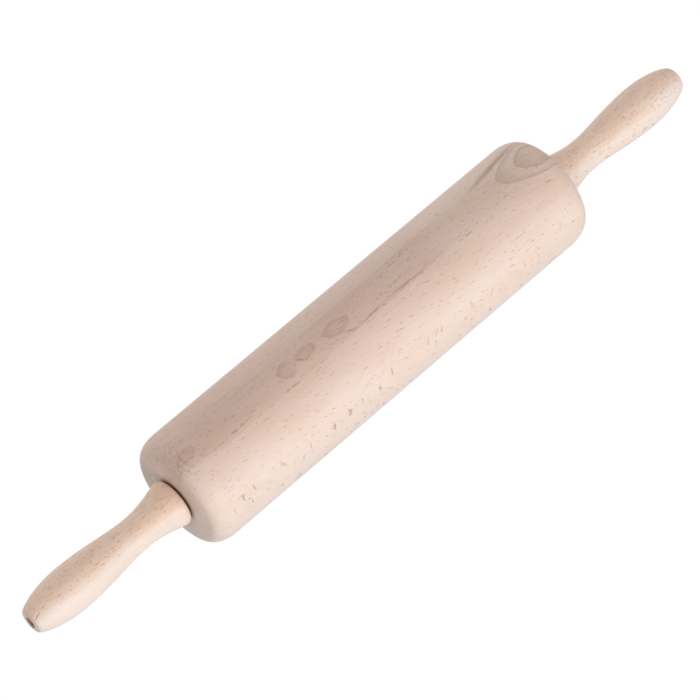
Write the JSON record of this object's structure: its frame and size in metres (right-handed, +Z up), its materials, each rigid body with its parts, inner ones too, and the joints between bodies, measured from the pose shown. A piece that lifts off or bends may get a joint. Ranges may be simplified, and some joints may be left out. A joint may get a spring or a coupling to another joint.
{
  "type": "rolling pin",
  "caption": "Turned beech rolling pin: a thick round-edged roller spins freely on a steel rod between shaped wooden handles.",
  "frame": {"origin": "on the table, straight below the middle of the roller", "axes": "+X along the pin towards the right handle, +Z up off the table"},
  "size_m": [0.4326, 0.0598, 0.0599],
  "materials": {
    "roller_beech": "sanded, unvarnished",
    "handle_beech": "sanded, unvarnished",
    "axle_steel": "bright drawn",
    "washer_steel": "plain stamped",
    "bush_nylon": "moulded, off-white"
  },
  "bodies": {
    "handles": {"axle_rod": "axle_steel", "left_handle": "handle_beech", "right_handle": "handle_beech", "left_washer": "washer_steel", "right_washer": "washer_steel"},
    "roller": {"roller": "roller_beech", "left_bush": "bush_nylon", "right_bush": "bush_nylon"}
  },
  "joints": [
    {"name": "roller_spin", "type": "hinge", "parent": "handles", "child": "roller", "pos_m": [0, 0, 0.02994], "axis": [1, 0, 0], "continuous": true}
  ]
}
